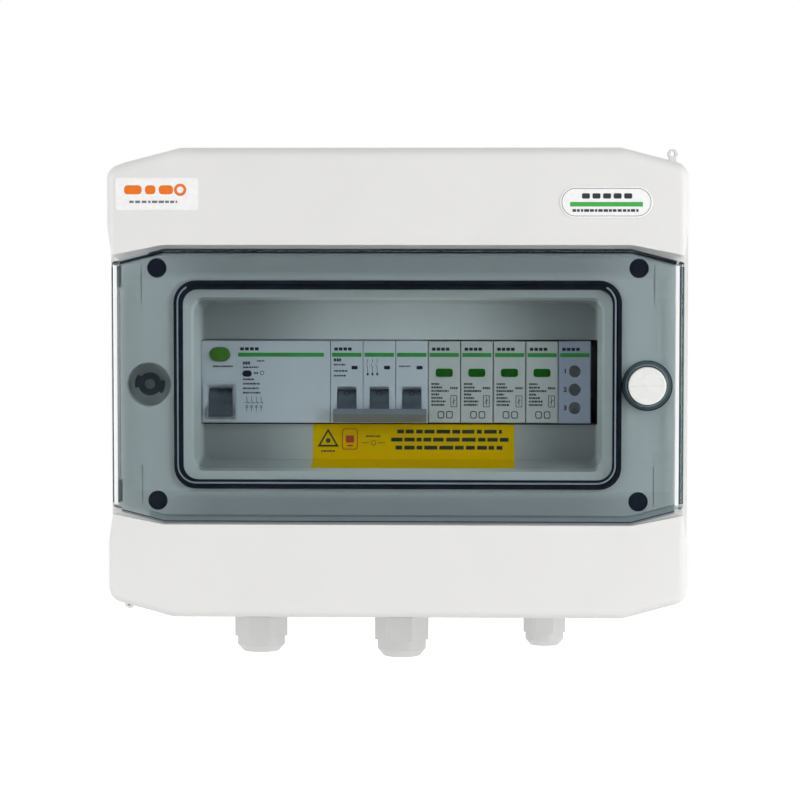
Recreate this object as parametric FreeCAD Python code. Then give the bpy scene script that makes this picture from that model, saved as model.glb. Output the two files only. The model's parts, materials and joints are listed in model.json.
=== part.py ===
import FreeCAD, Part
import math
import os

V = FreeCAD.Vector

# Frame: +Z up, +X to the right, -Y out of the wall. The origin is the middle of the wall face.

# --- Enclosure ---
joint_y = -88.0             # plane where the cover meets the rear case
front_y = -142.0            # front face of the cover and of the door
half_w, half_h = 157.5, 127.5
front_half_w, front_half_h = 155.3, 125.2
back_half_w, back_half_h = 155.5, 125.5
bend_x = 121.0              # where the top edge starts to slope down
bend_drop = 9.5
wall = 3.0
edge_r = 5.0
joint_gap = 0.4
rim_w = 7.0
rim_depth = 4.0
groove_depth, groove_in = 1.8, 5.2      # groove for the gasket in the rear case's rim
boss_r, boss_hole_r = 6.5, 2.05         # posts that the cover screws bite into
lug_r, lug_hole_r = 2.7, 1.25           # eyelets for a lead seal

# --- Door, its pocket and the window recess ---
pocket_y = -136.0
door_half_w, door_half_h = 153.0, 73.0
door_side_h = 65.7
door_bend_x = 125.0
door_corner_r = 1.6
door_t = 3.0
pocket_gap = 2.0
pocket_side_h = 69.4        # wider at the ends, so that the door's corners swing clear
side_pocket_x = 148.0
side_pocket_y = -121.0
side_flange_y = -126.0
waist_half_w, waist_z0, waist_z1, waist_y = 152.8, 69.5, 91.0, -114.0
seal_out = (120.0, 56.0, 12.0)
seal_in = (115.0, 51.0, 8.0)
ledge = (109.7, 45.3, 7.0)
floor = (107.0, 42.6, 6.0)
ledge_y, floor_y, floor_t = -132.0, -107.0, 2.5
well_out, well_back = (114.2, 49.8, 9.0), (111.6, 46.2, 8.5)
cutout_w, cutout_h = 109.0, 23.0
rib_out, rib_in = (117.9, 53.9, 10.4), (117.1, 53.1, 9.8)      # the door's rib, pressed into its seal
seal_groove = 1.8

# --- Hinge and latch ---
hinge_x, hinge_y = -150.0, -126.0
pin_r, knuckle_r = 1.25, 2.6
knuckle_z = (52.0, 63.4)
ear_z = (64.0, 70.4)
latch_x = 133.5
latch_tilt = 12.0           # how far the wings and lips are turned when the latch is shut
cup_r, cup_y = 11.8, -125.0
knob_r, knob_in_r = 10.1, 8.7
knob_front_y = -143.6
collar_r, collar_in_r = 13.5, 12.0
ring_y, ring_t = -138.0, 1.1
striker_base_y, striker_top_y = -129.5, -132.2
striker_head_y = -130.6

# --- Cover screws and wall fixing ---
screw_x, screw_z = 129.0, 62.5
screw_r, screw_head_r, screw_head_h = 2.0, 4.2, 3.2
well_r, well_y = 5.25, -124.0
wall_hole_x, wall_hole_z, wall_hole_r = 125.0, 95.0, 2.75

# --- Row of modules on the DIN rail ---
module = 17.7
row_x = -108.1
nose_y, shoulder_y, rail_y, foot_y = -110.0, -95.0, -50.0, -44.5
nose_z, body_z, notch_z = 22.4, 41.0, 18.0
side_gap = 0.15
rail_half_l, rail_half_h, rail_web_half_h = 116.0, 17.5, 12.5
rail_depth, rail_t = 7.5, 1.0
post_x = 100.0              # the two posts that carry the rail
terminal_z, terminal_y = 33.0, -72.0
terminal_r, terminal_depth = 3.1, 16.0
toggle_angle = 35.0         # the lever's slope below level when it is off
toggle_y = -104.0
rcd_toggle_z, mcb_toggle_z = -10.5, -10.9
barrel_r, pivot_r = 6.2, 1.2

# --- Glands: centre X, thread radius, across flats, length below the case, cable bore radius ---
gland_y = -66.0
gland_seat_z = -127.7
gland_collar_h, gland_neck_h = 5.5, 11.0
glands = {
    "left": (-79.0, 9.9, 27.0, 26.0, 6.0),
    "centre": (0.0, 9.9, 27.6, 28.5, 6.0),
    "right": (80.0, 7.9, 21.5, 22.0, 4.25),
}

# --- Terminal bars and wires ---
bar_y, bar_z = -26.0, -84.0
bars = {"neutral_bar": -46.15, "earth_bar": 77.75}
bar_half_l, bar_half_y, bar_half_z = 24.0, 4.0, 3.5
bar_pitch = 9.0             # between its screws
holder_x = 18.0             # from a bar's middle to each of its feet
wire_r = 1.8


def box(x0, x1, y0, y1, z0, z1):
    low = V(min(x0, x1), min(y0, y1), min(z0, z1))
    return Part.makeBox(abs(x1 - x0), abs(y1 - y0), abs(z1 - z0), low)


def cyl_y(r, x, z, y0, y1):
    return Part.makeCylinder(r, abs(y1 - y0), V(x, min(y0, y1), z), V(0, 1, 0))


def cyl_z(r, x, y, z0, z1):
    return Part.makeCylinder(r, abs(z1 - z0), V(x, y, min(z0, z1)), V(0, 0, 1))


def cyl_x(r, y, z, x0, x1):
    return Part.makeCylinder(r, abs(x1 - x0), V(min(x0, x1), y, z), V(1, 0, 0))


def cone_z(r0, r1, x, y, z0, z1):
    """Cone from radius r0 at z0 down or up to radius r1 at z1."""
    way = V(0, 0, 1 if z1 > z0 else -1)
    return Part.makeCone(r0, r1, abs(z1 - z0), V(x, y, z0), way)


def fuse(shapes):
    shapes = list(shapes)
    return shapes[0].multiFuse(shapes[1:]).removeSplitter() if len(shapes) > 1 else shapes[0]


def cut(shape, tools):
    for tool in tools:
        shape = shape.cut(tool)
    return shape


def rounded(points, radii, y):
    """Closed wire in the plane Y=y through the (x, z) points, each corner rounded by its radius."""
    corners = []
    count = len(points)
    for i, (x, z) in enumerate(points):
        here = V(x, y, z)
        before = V(points[i - 1][0], y, points[i - 1][1]).sub(here).normalize()
        after = V(points[(i + 1) % count][0], y, points[(i + 1) % count][1]).sub(here).normalize()
        half = math.acos(max(-1.0, min(1.0, before.dot(after)))) / 2
        reach = radii[i] / math.tan(half)
        bisector = before.add(after).normalize()
        middle = here.add(bisector.multiply(radii[i] / math.sin(half) - radii[i]))
        corners.append((here.add(V(before).multiply(reach)), middle, here.add(V(after).multiply(reach))))
    edges = []
    for i, (start, middle, end) in enumerate(corners):
        edges.append(Part.Arc(start, middle, end).toShape())
        edges.append(Part.LineSegment(end, corners[(i + 1) % count][0]).toShape())
    return Part.Wire(edges)


def rect(hw, hh, r, y, x=0.0, z=0.0):
    points = [(x + hw, z + hh), (x - hw, z + hh), (x - hw, z - hh), (x + hw, z - hh)]
    return rounded(points, [r] * 4, y)


def prism(wire, y1):
    """Solid from a wire in a Y plane to the plane Y=y1."""
    face = Part.Face(wire)
    return face.extrude(V(0, y1 - wire.BoundBox.YMin, 0))


def loft(first, second):
    return Part.makeLoft([first, second], True, True)


def octagon(hw, hh, side_h, turn_x, r_side, r_top, y):
    """Outline with a level top and bottom whose ends slope towards the sides."""
    quarter = [(hw, -side_h), (hw, side_h), (turn_x, hh), (-turn_x, hh)]
    points = quarter + [(-x, -z) for x, z in quarter]
    return rounded(points, [r_side, r_side, r_top, r_top] * 2, y)


def case_outline(hw, hh, y, inset=0.0):
    side_h = hh - bend_drop - 0.774 * inset
    return octagon(hw - inset, hh - inset, side_h, bend_x - 0.127 * inset,
                   max(8.0 - inset, 1.5), 12.0, y)


def cover_size(y):
    """Half width and half height of the drafted cover at the depth y."""
    part = (y - joint_y) / (front_y - joint_y)
    return half_w + (front_half_w - half_w) * part, half_h + (front_half_h - half_h) * part


def case_size(y):
    part = y / joint_y
    return back_half_w + (half_w - back_half_w) * part, back_half_h + (half_h - back_half_h) * part


def slab(size, inset, y0, y1):
    """Drafted solid of the case or cover outline, drawn in by inset, from y0 to y1."""
    return loft(case_outline(*size(y0), y0, inset), case_outline(*size(y1), y1, inset))


def fillet_where(shape, r, test):
    return shape.makeFillet(r, [e for e in shape.Edges if test(e)])


def at_y(edge, y):
    return abs(edge.BoundBox.YMin - y) < 1e-4 and abs(edge.BoundBox.YMax - y) < 1e-4


def profile_x(points, x0, x1):
    """Solid of a (y, z) outline between two X planes."""
    wire = Part.makePolygon([V(x0, y, z) for y, z in points + points[:1]])
    return Part.Face(wire).extrude(V(x1 - x0, 0, 0))


def hexagon_z(across, x, y, z0, z1):
    """Hexagonal prism with a flat facing -Y."""
    r = across / math.sqrt(3)
    ring = [V(x + r * math.cos(math.radians(60 * k)), y + r * math.sin(math.radians(60 * k)), z0)
            for k in range(7)]
    return Part.Face(Part.makePolygon(ring)).extrude(V(0, 0, z1 - z0))


def four(x, z):
    return [(x, z), (-x, z), (-x, -z), (x, -z)]


def holder_places():
    return [x + s * holder_x for x in bars.values() for s in (-1, 1)]


os.makedirs("parts", exist_ok=True)


def save(name, shape):
    shape.exportStep("parts/%s.step" % name)


# --- Rear case -------------------------------------------------------------------------------

eyelets = [(149.0, 124.0), (-150.0, -124.5)]


def eyelet(x, z, y0, y1):
    root = z - math.copysign(5.5, z)
    return cyl_y(lug_r, x, z, y0, y1).fuse(box(x - 1.9, x + 1.9, y0, y1, z, root))


def rear_case():
    shell = slab(case_size, 0.0, 0.0, joint_y)
    shell = fillet_where(shell, wall, lambda e: at_y(e, 0.0))
    hollow = slab(case_size, wall, -wall, joint_y + rim_depth)
    mouth = slab(case_size, rim_w, joint_y + rim_depth, joint_y)
    shell = cut(shell, [hollow, mouth])
    groove_y = joint_y + groove_depth
    groove = slab(case_size, wall, groove_y, joint_y).cut(slab(case_size, groove_in, groove_y, joint_y))
    adds = [cyl_y(boss_r, x, z, -1.0, joint_y) for x, z in four(screw_x, screw_z)]
    adds += [cyl_y(6.0, x, z, -1.0, -6.0) for x, z in four(wall_hole_x, wall_hole_z)]
    adds += [box(x - 7, x + 7, -1.0, rail_y + rail_depth, -9, 9) for x in (-post_x, post_x)]
    adds += [box(x - 5, x + 5, -1.0, bar_y + 6, bar_z - 6, bar_z + 6) for x in holder_places()]
    adds += [eyelet(x, z, joint_y + 4, joint_y) for x, z in eyelets]
    adds += [cyl_z(r + 6.5, x, gland_y, -124.2, gland_seat_z) for x, r, _, _, _ in glands.values()]
    shell = fuse([shell] + adds)
    holes = [groove]
    holes += [cyl_y(boss_hole_r, x, z, -40.0, joint_y - 1) for x, z in four(screw_x, screw_z)]
    holes += [cyl_y(wall_hole_r, x, z, 1.0, -7.0) for x, z in four(wall_hole_x, wall_hole_z)]
    holes += [cyl_y(1.55, x, 0, -20.0, rail_y) for x in (-post_x, post_x)]
    holes += [cyl_y(lug_hole_r, x, z, joint_y + 5, joint_y - 1) for x, z in eyelets]
    holes += [cyl_z(r + 0.15, x, gland_y, -120.0, -130.0) for x, r, _, _, _ in glands.values()]
    return cut(shell, holes)


def case_gasket():
    ring = slab(case_size, 3.1, joint_y + 1.75, joint_y)
    ring = ring.cut(slab(case_size, 5.1, joint_y + 1.75, joint_y))
    raised = slab(case_size, 3.6, joint_y, joint_y - joint_gap)
    raised = raised.cut(slab(case_size, 4.6, joint_y, joint_y - joint_gap))
    return ring.fuse(raised)


# --- Front cover -----------------------------------------------------------------------------

def pocket_outline(y, gap):
    """The door's outline grown by gap, run out past the sides of the cover."""
    turn = door_bend_x + 0.25 * gap
    side = pocket_side_h
    quarter = [(170.0, side), (door_half_w + 0.5, side), (turn, door_half_h + gap),
               (-turn, door_half_h + gap), (-door_half_w - 0.5, side), (-170.0, side)]
    points = quarter + [(-x, -z) for x, z in quarter]
    return Part.makePolygon([V(x, y, z) for x, z in points + points[:1]])


def cover_outside():
    body = slab(cover_size, 0.0, joint_y - joint_gap, front_y)
    body = fillet_where(body, edge_r, lambda e: at_y(e, front_y))
    slope = [(waist_half_w, waist_z0), (156.2, waist_z1), (175.0, waist_z1)]
    waist = slope + [(x, -z) for x, z in reversed(slope)]
    tools = []
    for side in (1, -1):
        wire = Part.makePolygon([V(side * x, waist_y, z) for x, z in waist + waist[:1]])
        tools.append(Part.Face(wire).extrude(V(0, -40, 0)))
        tools.append(box(side * side_pocket_x, side * 175, side_pocket_y, -160, -67.6, 67.6))
    tools.append(Part.Face(pocket_outline(pocket_y, pocket_gap)).extrude(V(0, -20, 0)))
    return cut(body, tools)


def cover_hollow():
    depth = pocket_y + wall
    rim = slab(cover_size, rim_w, joint_y, joint_y - joint_gap - 2.0)
    main = slab(cover_size, wall, joint_y - joint_gap - 2.0, depth)
    band = slab(cover_size, 8.0, depth, front_y + wall)
    band = band.common(fuse([box(-150, 150, 0, -150, 78.5, 130), box(-150, 150, 0, -150, -130, -78.5)]))
    hollow = fuse([rim, main, band])
    keep = [box(s * 145, s * 175, side_pocket_y + wall, -150, -70.6, 70.6) for s in (1, -1)]
    keep += [box(s * 149.6, s * 175, waist_y + wall, -150, -94, 94) for s in (1, -1)]
    keep += [cyl_y(7.5, x, z, joint_y, -140) for x, z in four(screw_x, screw_z)]
    keep += [cyl_y(cup_r + 2.4, s * latch_x, 0, cup_y + wall, -140) for s in (1, -1)]
    return cut(hollow, keep)


def hinge_ear(side):
    z0, z1 = ear_z
    return fuse([cyl_z(2.9, hinge_x, hinge_y, side * z0, side * z1),
                 box(hinge_x, hinge_x + 4, hinge_y - 2.9, hinge_y + 2.9, side * z0, side * z1)])


def front_cover():
    cover = cover_outside().cut(cover_hollow())
    cover = fuse([cover] + [hinge_ear(s) for s in (1, -1)]
                 + [eyelet(x, z, joint_y - joint_gap, joint_y - 4) for x, z in eyelets])
    slit_x, slit_z0, slit_z1 = 137.0, 43.5, 64.5
    groove_y = pocket_y + seal_groove
    tools = recess() + [prism(rect(*seal_out, groove_y), pocket_y - 5)
                        .cut(prism(rect(*seal_in, groove_y), pocket_y - 5))]
    for x, z in four(screw_x, screw_z):
        tools += [cyl_y(well_r, x, z, well_y, -150), cyl_y(2.3, x, z, -80, well_y)]
        step = math.copysign(1, x)
        tools.append(box(step * slit_x, step * (slit_x + 0.5), pocket_y + 0.8, -140,
                         math.copysign(slit_z0, z), math.copysign(slit_z1, z)))
    for s in (1, -1):
        tools += [cyl_y(cup_r, s * latch_x, 0, cup_y, -150), cyl_y(1.5, s * latch_x, 0, cup_y + 2, -130)]
        tools.append(cyl_z(pin_r + 0.05, hinge_x, hinge_y, s * (ear_z[0] - 1), s * (ear_z[1] - 1)))
        tools.append(cyl_z(3.3, hinge_x, hinge_y, s * (knuckle_z[0] - 0.6), s * ear_z[0]))
    tools += [cyl_y(lug_hole_r, x, z, joint_y + 1, joint_y - 5) for x, z in eyelets]
    return cut(cover, tools)


def recess():
    """The space in front of the modules, and the cut-out that their noses stand in."""
    return [loft(rect(*seal_in, pocket_y), rect(*ledge, ledge_y)),
            loft(rect(*ledge, ledge_y), rect(*floor, floor_y)),
            box(-cutout_w, cutout_w, -113, -100, -cutout_h, cutout_h)]


def window_well():
    """Frame behind the window: four sloping walls and a floor around the row of modules."""
    block = loft(rect(*well_out, pocket_y), rect(*well_back, floor_y + floor_t))
    behind_sheet = box(-130, 130, pocket_y + wall, floor_y + floor_t, -60, 60)
    return cut(block.common(behind_sheet), recess())


def cover_screws():
    made = []
    for x, z in four(screw_x, screw_z):
        head = cyl_y(screw_head_r, x, z, well_y, well_y - screw_head_h)
        cross = fuse([box(x - 2.4, x + 2.4, -140, well_y - 1.4, z - 0.5, z + 0.5),
                      box(x - 0.5, x + 0.5, -140, well_y - 1.4, z - 2.4, z + 2.4)])
        made.append(head.cut(cross).fuse(cyl_y(screw_r, x, z, -42.0, well_y)))
    return Part.makeCompound(made)


def screw_plugs():
    """Domed plugs over the cover screws, each with a stub that grips the well."""
    made = []
    for x, z in four(screw_x, screw_z):
        cap = cyl_y(well_r - 0.05, x, z, pocket_y + 3.4, pocket_y + 0.4)
        cap = fillet_where(cap, 0.7, lambda e: at_y(e, pocket_y + 0.4))
        made.append(cap.fuse(cyl_y(well_r - 1.6, x, z, pocket_y + 3.4, pocket_y + 6.0)))
    return Part.makeCompound(made)


def door_gasket():
    """Ring with two raised beads and a shallow valley between them."""
    back, top = pocket_y + 1.75, pocket_y - 2.0
    ring = prism(rect(119.9, 55.9, 11.9, back), top)
    ring = ring.cut(prism(rect(115.1, 51.1, 8.1, back), top))
    valley = prism(rect(*rib_out, top + 1.0), top - 1).cut(prism(rect(*rib_in, top + 1.0), top - 1))
    return ring.cut(valley)


# --- Latch strikers --------------------------------------------------------------------------

def wedge(x, reach, half, y0, y1):
    """Triangular slab that opens from the latch's axis towards one side."""
    corners = [(x, 0), (x + reach, half), (x + reach, -half), (x, 0)]
    return Part.Face(Part.makePolygon([V(a, y0, c) for a, c in corners])).extrude(V(0, y1 - y0, 0))


def striker(x):
    post = cyl_y(4.5, x, 0, cup_y, -130.0)
    core = cyl_y(6.2, x, 0, striker_base_y, striker_top_y)
    wings = cyl_y(8.1, x, 0, striker_base_y, striker_top_y).common(
        fuse([wedge(x, s * 12, 6.2, striker_base_y, striker_top_y) for s in (1, -1)]))
    body = fuse([post, core, wings])
    body.rotate(V(x, 0, 0), V(0, 1, 0), latch_tilt)
    return cut(body, [cyl_y(1.5, x, 0, -120, -140), cyl_y(2.9, x, 0, striker_head_y, -140)])


def striker_screw(x):
    head = cyl_y(2.7, x, 0, striker_head_y, striker_head_y - 1.4)
    slot = box(x - 2.2, x + 2.2, striker_head_y - 0.6, -135, -0.4, 0.4)
    return head.cut(slot).fuse(cyl_y(1.4, x, 0, cup_y + 1.8, striker_head_y - 0.1))


# --- Door ------------------------------------------------------------------------------------

def door_outline(y, inset=0.0):
    return octagon(door_half_w - inset, door_half_h - inset, door_side_h - 0.774 * inset,
                   door_bend_x - 0.127 * inset, door_corner_r, 6.0, y)


def door():
    body = prism(door_outline(front_y), side_flange_y)
    body = fillet_where(body, 2.4, lambda e: at_y(e, front_y))
    inside = prism(door_outline(front_y + door_t, door_t), side_flange_y + 1)
    open_y = pocket_y - 0.7
    behind = [box(-149.9, 149.9, open_y, side_flange_y + 1, -80, 80)]
    behind += [box(-160, 160, open_y, side_flange_y + 1, s * 63.4, s * 80) for s in (1, -1)]
    behind += [box(-160, hinge_x + 17, front_y + door_t, open_y + 1, s * 63.4, s * 80) for s in (1, -1)]
    body = cut(body, [inside] + behind)
    inner_y = front_y + door_t
    rib = prism(rect(*rib_out, inner_y - 0.2), inner_y + 0.7).cut(
        prism(rect(*rib_in, inner_y - 0.2), inner_y + 0.7))
    collar = cyl_y(collar_r, latch_x, 0, front_y + 1, pocket_y - 0.4).cut(
        cyl_y(collar_in_r, latch_x, 0, inner_y, pocket_y + 1))
    knuckles = []
    for s in (1, -1):
        z0, z1 = s * knuckle_z[0], s * knuckle_z[1]
        knuckles.append(cyl_z(knuckle_r, hinge_x, hinge_y, z0, z1))
        knuckles.append(box(hinge_x - 2.6, hinge_x, hinge_y - 4, hinge_y, z0, z1))
    body = fuse([body, rib, collar] + knuckles)
    tools = [cyl_y(knob_r + 0.35, latch_x, 0, -120, -150)]
    tools += [cyl_z(pin_r + 0.05, hinge_x, hinge_y, s * 50, s * 66) for s in (1, -1)]
    return cut(body, tools)


def hinge_pins():
    return Part.makeCompound([cyl_z(pin_r, hinge_x, hinge_y, s * 52.3, s * (ear_z[1] - 1.1))
                              for s in (1, -1)])


def latch_knob():
    """Hollow round knob: its two inward lips catch behind the wings of the striker."""
    lip_y0, lip_y1 = -127.4, -129.0
    cap = cyl_y(knob_r, latch_x, 0, lip_y0, knob_front_y)
    cap = fillet_where(cap, 1.0, lambda e: at_y(e, knob_front_y))
    cap = cap.cut(cyl_y(knob_in_r, latch_x, 0, -120, knob_front_y + 4))
    ring = cyl_y(knob_in_r + 0.5, latch_x, 0, lip_y0, lip_y1).cut(cyl_y(6.9, latch_x, 0, -120, -135))
    lip = ring.common(fuse([wedge(latch_x, s * 14, 7.5, lip_y0, lip_y1) for s in (1, -1)]))
    lip.rotate(V(latch_x, 0, 0), V(0, 1, 0), latch_tilt)
    half = ring_t / 2 + 0.05
    groove = cyl_y(12, latch_x, 0, ring_y + half, ring_y - half).cut(
        cyl_y(knob_r - 0.5, latch_x, 0, -130, -140))
    crease = profile_x([(knob_front_y - 1, 0.9), (knob_front_y + 0.35, 0.0), (knob_front_y - 1, -0.9)],
                       latch_x - 11, latch_x + 11)
    return cut(cap.fuse(lip), [groove, crease])


def latch_retaining_ring():
    ring = cyl_y(collar_in_r - 0.5, latch_x, 0, ring_y + ring_t / 2, ring_y - ring_t / 2)
    return ring.cut(cyl_y(knob_r - 0.45, latch_x, 0, -130, -140))


# --- DIN rail --------------------------------------------------------------------------------

def din_rail():
    web_y, h, web_h, t = rail_y + rail_depth, rail_half_h, rail_web_half_h, rail_t
    half = [(rail_y, h), (rail_y, web_h), (web_y - t, web_h)]
    back = [(web_y, web_h + t), (rail_y + t, web_h + t), (rail_y + t, h)]
    lower = [(y, -z) for y, z in reversed(half)] + [(y, -z) for y, z in reversed(back)]
    rail = profile_x(half + lower + back, -rail_half_l, rail_half_l)
    holes = [cyl_y(1.7, x, 0, -30, -60) for x in (-post_x, post_x)]
    holes += [box(x - 6, x + 6, -30, -60, -3, 3) for x in range(-75, 76, 25)]
    return cut(rail, holes)


def rail_screws():
    web = rail_y + rail_depth - rail_t
    made = []
    for x in (-post_x, post_x):
        head = cyl_y(3.2, x, 0, web, web - 2.2)
        head = head.cut(box(x - 2.6, x + 2.6, web - 1.2, web - 4, -0.5, 0.5))
        made.append(head.fuse(cyl_y(1.5, x, 0, -24, web)))
    return Part.makeCompound(made)


# --- Modules ---------------------------------------------------------------------------------

def module_body(start, count):
    """Stepped case that hooks over the rail: a nose at the window and a shoulder above and below."""
    x0, x1 = row_x + module * start + side_gap, row_x + module * (start + count) - side_gap
    points = [(foot_y, body_z), (foot_y, notch_z), (rail_y - 0.2, notch_z), (rail_y - 0.2, -notch_z),
              (foot_y, -notch_z), (foot_y, -body_z), (shoulder_y, -body_z), (shoulder_y, -nose_z),
              (nose_y, -nose_z), (nose_y, nose_z), (shoulder_y, nose_z), (shoulder_y, body_z)]
    body = profile_x(points, x0, x1)
    body = fillet_where(body, 0.7, lambda e: at_y(e, nose_y))
    hook = box(x0, x1, foot_y, rail_y + 1.3, 14.6, notch_z + 0.5)
    return body.fuse(hook).removeSplitter()


def pole_x(start, count):
    return [row_x + module * (start + k + 0.5) for k in range(count)]


def terminal_holes(x, sides=(1, -1)):
    """Round hole for the screwdriver and the wire's way in, above and below."""
    made = []
    for s in sides:
        made.append(cyl_y(terminal_r, x, s * terminal_z, shoulder_y - 1, shoulder_y + terminal_depth))
        made.append(cyl_z(terminal_r + 0.1, x, terminal_y, s * (body_z + 1), s * (body_z - 13)))
    return made


def terminal_screw(x, z, y, r=2.9):
    head = cyl_y(r, x, z, y, y - 3.0)
    return head.cut(fuse([box(x - r + 0.6, x + r - 0.6, y - 1.6, y - 5, z - 0.4, z + 0.4),
                          box(x - 0.4, x + 0.4, y - 1.6, y - 5, z - r + 0.6, z + r - 0.6)]))


def terminal_screws(start, count):
    return Part.makeCompound([terminal_screw(x, s * terminal_z, shoulder_y + terminal_depth)
                              for x in pole_x(start, count) for s in (1, -1)])


clip_w = 4.0


def clip_channel(x):
    return box(x - clip_w - 0.3, x + clip_w + 0.3, rail_y + 0.9, foot_y + 1, -body_z - 1, -notch_z + 1)


def din_clip(x):
    """Slider that grips behind the rail's lower lip, with a slot for a screwdriver at its foot."""
    plate = box(x - clip_w, x + clip_w, rail_y + 1.3, foot_y - 0.6, -body_z - 3.0, -14.8)
    ear = box(x - clip_w, x + clip_w, rail_y + 1.3, rail_y - 2.2, -body_z - 3.0, -body_z - 0.6)
    return plate.fuse(ear).cut(box(x - 2, x + 2, -60, -40, -body_z - 2.2, -body_z - 1.2))


def toggle_slot(x, w, z):
    return fuse([cyl_x(barrel_r + 0.35, toggle_y, z, x - w / 2 - 0.3, x + w / 2 + 0.3),
                 cyl_x(pivot_r + 0.05, toggle_y, z, x - w / 2 - 1.2, x + w / 2 + 1.2),
                 box(x - w / 2 - 0.3, x + w / 2 + 0.3, toggle_y, nose_y - 2, z - 8.4, z + 8.4)])


def toggle(x, w, z):
    """Lever with a round root: it slopes down when it is off."""
    blade = [(0, -2.9), (10.6, -2.0), (12.9, -1.3), (13.5, -0.2), (13.2, 0.9), (12.2, 1.7), (0, 2.9)]
    arm = profile_x([(toggle_y - u, z + v) for u, v in blade], x - w / 2, x + w / 2)
    arm.rotate(V(0, toggle_y, z), V(1, 0, 0), toggle_angle)
    lever = arm.fuse(cyl_x(barrel_r, toggle_y, z, x - w / 2, x + w / 2)).removeSplitter()
    pin = cyl_x(pivot_r, toggle_y, z, x - w / 2 - 1.0, x + w / 2 + 1.0)
    return lever.fuse(pin)


def stadium(w, h, y, x, z):
    """Rounded slot outline, wider than it is high."""
    return rect(w / 2, h / 2, h / 2 - 0.01, y, x, z)


rcd_toggle_x, rcd_toggle_w = -97.4, 12.6
rcd_clip_x, spd_clip_x = row_x + 2 * module, row_x + 9 * module
test_x, test_z, test_w, test_h = -97.7, 14.9, 10.6, 7.2
mcb_x = pole_x(4, 3)
mcb_toggle_w = 10.0
spd_x = pole_x(7, 4)
block_x = pole_x(11, 1)[0]
block_holes_z = (6.0, -4.0, -14.0)


def rcd_case():
    tools = [toggle_slot(rcd_toggle_x, rcd_toggle_w, rcd_toggle_z), clip_channel(rcd_clip_x),
             prism(stadium(test_w + 0.6, test_h + 0.6, nose_y - 1, test_x, test_z), nose_y + 7)]
    for x in pole_x(0, 4):
        tools += terminal_holes(x)
    return cut(module_body(0, 4), tools)


def rcd_test_button():
    cap = prism(stadium(test_w, test_h, nose_y - 1.6, test_x, test_z), nose_y + 4.5)
    return fillet_where(cap, 0.8, lambda e: at_y(e, nose_y - 1.6))


def mcb_pole(k):
    x = mcb_x[k]
    return cut(module_body(4 + k, 1),
               [toggle_slot(x, mcb_toggle_w, mcb_toggle_z), clip_channel(x)] + terminal_holes(x))


def mcb_toggles():
    return Part.makeCompound([toggle(x, mcb_toggle_w, mcb_toggle_z) for x in mcb_x])


def mcb_tie_bar():
    """Bar across the three lever tips, set square to the levers."""
    z = mcb_toggle_z
    bar = box(mcb_x[0] - 7.3, mcb_x[2] + 8.3, toggle_y - 10.2, toggle_y - 14.8, z - 3.2, z + 3.2)
    bar = bar.makeFillet(0.6, bar.Edges)
    bar.rotate(V(0, toggle_y, z), V(1, 0, 0), toggle_angle)
    return bar.cut(mcb_toggles())


cartridge_back, cartridge_z = -62.0, 22.2
blade_z = 13.0              # the cartridges' contacts, above and below the middle


def spd_base():
    body = module_body(7, 4)
    x0, x1 = row_x + 7 * module, row_x + 11 * module
    tools = [box(x0 - 1, x1 + 1, cartridge_back + 0.5, -120, -nose_z - 0.3, nose_z + 0.3)]
    tools.append(clip_channel(spd_clip_x))
    for x in spd_x:
        tools += terminal_holes(x)
        tools += [box(x - 1.2, x + 1.2, -55, -70, z - 3.6, z + 3.6) for z in (-blade_z, blade_z)]
    return cut(body, tools)


def spd_cartridge(k):
    x, w = spd_x[k], module / 2 - 0.25
    body = box(x - w, x + w, cartridge_back, nose_y, -cartridge_z, cartridge_z)
    body = fillet_where(body, 0.7, lambda e: at_y(e, nose_y))
    blades = [box(x - 0.8, x + 0.8, cartridge_back, cartridge_back + 5, z - 3, z + 3)
              for z in (-blade_z, blade_z)]
    window = prism(rect(4.8, 2.4, 1.6, nose_y - 1, x, 5.1), nose_y + 0.5)
    return fuse([body] + blades).cut(window)


def terminal_block():
    tools = [clip_channel(block_x)] + terminal_holes(block_x)
    tools += [cyl_y(3.25, block_x, z, nose_y - 1, nose_y + 6) for z in block_holes_z]
    return cut(module_body(11, 1), tools)


def terminal_block_screws():
    return Part.makeCompound([terminal_screw(block_x, z, nose_y + 5.6, 3.0) for z in block_holes_z])


# --- Cable glands ----------------------------------------------------------------------------

corner_ease = 1.09          # turned corner radius of a hexagon, over half its width across flats


def gland_body(x, thread_r, across, length, bore):
    stem = cyl_z(thread_r, x, gland_y, -118.5, gland_seat_z)
    collar_z, neck_z = gland_seat_z - gland_collar_h, gland_seat_z - gland_neck_h
    collar = hexagon_z(across, x, gland_y, gland_seat_z, collar_z)
    collar = collar.common(cyl_z(across / 2 * corner_ease, x, gland_y, -100, -160))
    neck = cyl_z(across / 2 - 3.4, x, gland_y, collar_z, neck_z)
    return fuse([stem, collar, neck]).cut(cyl_z(bore + 0.8, x, gland_y, -100, -160))


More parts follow.
